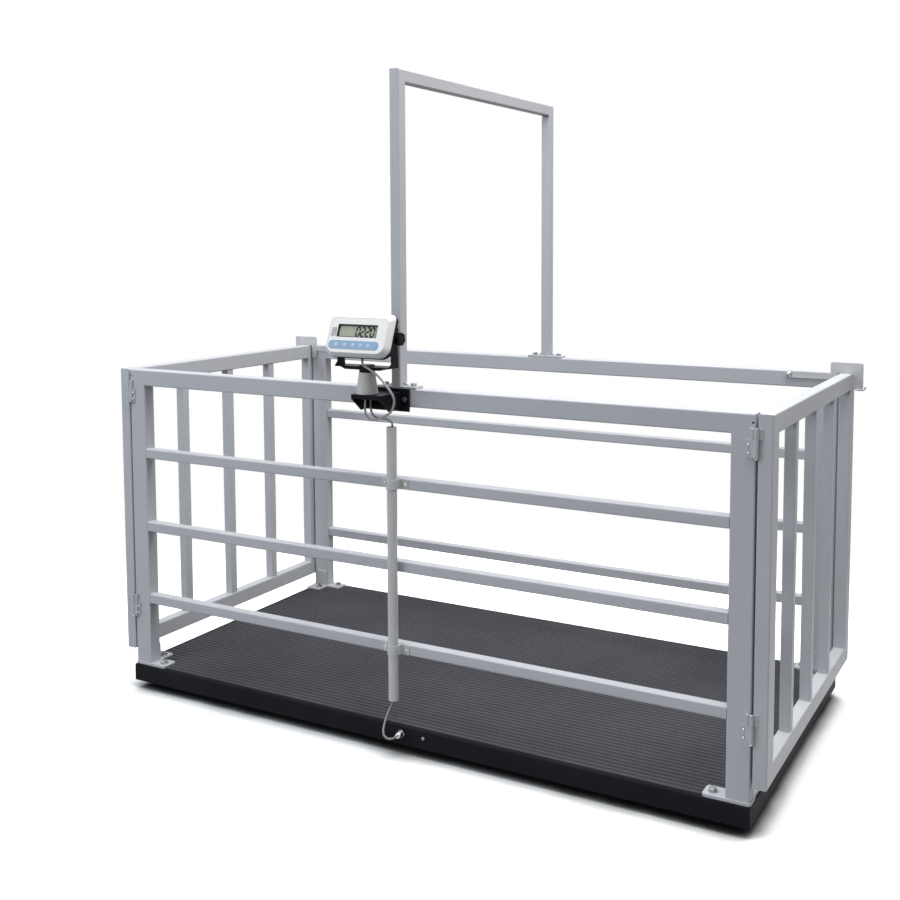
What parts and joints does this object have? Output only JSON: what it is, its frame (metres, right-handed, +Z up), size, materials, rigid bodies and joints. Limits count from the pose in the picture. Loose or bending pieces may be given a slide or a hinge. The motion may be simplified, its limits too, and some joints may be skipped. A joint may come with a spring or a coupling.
{
  "type": "livestock weighing crate",
  "caption": "Low platform scale with tube side panels, swinging end gates with drop-over latches, an arch and a tilting weight indicator on a bracket.",
  "frame": {"origin": "on the floor under the middle of the object's bounding box", "axes": "+X along the crate to the right-hand gate, +Y from the indicator side to the back panel, +Z up"},
  "size_m": [2.158, 1.1057, 1.886],
  "materials": {
    "painted_steel": "silver grey enamel, semi gloss",
    "dark_steel": "dark grey textured paint",
    "mat_rubber": "ribbed matte rubber",
    "cell_alloy": "plain alloy",
    "zinc_steel": "zinc plated",
    "latch_steel": "silver grey enamel",
    "pad_rubber": "matte",
    "nickel": "nickel plated",
    "black_steel": "black powder coat",
    "grey_plastic": "light grey, satin",
    "white_plastic": "white, fine texture",
    "black_plastic": "black, satin",
    "display_glass": "clear window over a grey green display",
    "keypad_film": "pale blue film",
    "board_laminate": "green laminate",
    "cable_sheath": "smooth dark sheath"
  },
  "bodies": {
    "crate": {"deck_tray": "dark_steel", "deck_mat": "mat_rubber", "under_frame": "dark_steel", "load_cells": "cell_alloy", "load_cell_bolts": "zinc_steel", "foot_studs": "zinc_steel", "foot_pads": "pad_rubber", "junction_box": "cell_alloy", "junction_box_lid": "cell_alloy", "skirt_gland": "nickel", "skirt_screw": "zinc_steel", "front_left_post": "painted_steel", "front_right_post": "painted_steel", "front_top_rail": "painted_steel", "front_mid_rails": "painted_steel", "back_left_post": "painted_steel", "back_right_post": "painted_steel", "back_top_rail": "painted_steel", "back_mid_rails": "painted_steel", "post_foot_plates": "painted_steel", "deck_bolts": "zinc_steel", "arch_front_post": "painted_steel", "arch_back_post": "painted_steel", "arch_beam": "painted_steel", "arch_foot_plates": "painted_steel", "arch_bolts": "zinc_steel", "hinge_post_leaves": "painted_steel", "hinge_leaf_bolts": "zinc_steel", "hinge_pins": "zinc_steel", "latch_pivot_bolts": "zinc_steel", "indicator_bracket": "black_steel", "bracket_bolts": "zinc_steel", "neck": "grey_plastic", "yoke": "black_steel", "conduit": "grey_plastic", "conduit_clips": "grey_plastic", "clip_screws": "zinc_steel", "signal_cable": "cable_sheath"},
    "left_gate": {"left_gate_hinge_stile": "painted_steel", "left_gate_latch_stile": "painted_steel", "left_gate_top_rail": "painted_steel", "left_gate_bottom_rail": "painted_steel", "left_gate_bars": "painted_steel", "left_gate_knuckles": "painted_steel"},
    "right_gate": {"right_gate_hinge_stile": "painted_steel", "right_gate_latch_stile": "painted_steel", "right_gate_top_rail": "painted_steel", "right_gate_bottom_rail": "painted_steel", "right_gate_bars": "painted_steel", "right_gate_knuckles": "painted_steel"},
    "left_latch": {"left_latch": "latch_steel"},
    "right_latch": {"right_latch": "latch_steel"},
    "indicator": {"indicator_front_shell": "white_plastic", "indicator_rear_shell": "black_plastic", "display_window": "display_glass", "keypad": "keypad_film", "circuit_board": "board_laminate", "indicator_gland": "black_plastic"},
    "knob_left": {"tilt_knob_left": "black_plastic"},
    "knob_right": {"tilt_knob_right": "black_plastic"}
  },
  "joints": [
    {"name": "left_gate_swing", "type": "hinge", "parent": "crate", "child": "left_gate", "pos_m": [-0.9985, -0.4265, 0.576], "axis": [0, 0, 1], "range_deg": [0, 170]},
    {"name": "right_gate_swing", "type": "hinge", "parent": "crate", "child": "right_gate", "pos_m": [0.9985, -0.4265, 0.576], "axis": [0, 0, -1], "range_deg": [0, 170]},
    {"name": "left_latch_lift", "type": "hinge", "parent": "crate", "child": "left_latch", "pos_m": [-0.846, 0.5025, 1.015], "axis": [0, 1, 0], "range_deg": [0, 95]},
    {"name": "right_latch_lift", "type": "hinge", "parent": "crate", "child": "right_latch", "pos_m": [0.846, 0.5025, 1.015], "axis": [0, -1, 0], "range_deg": [0, 95]},
    {"name": "indicator_tilt", "type": "hinge", "parent": "crate", "child": "indicator", "pos_m": [-0.046, -0.49, 1.168], "axis": [1, 0, 0], "range_deg": [-25, 20], "deforming": ["signal_cable"]},
    {"name": "left_knob_turn", "type": "hinge", "parent": "indicator", "child": "knob_left", "pos_m": [-0.046, -0.49, 1.168], "axis": [-1, 0, 0], "continuous": true},
    {"name": "right_knob_turn", "type": "hinge", "parent": "indicator", "child": "knob_right", "pos_m": [-0.046, -0.49, 1.168], "axis": [1, 0, 0], "continuous": true}
  ]
}
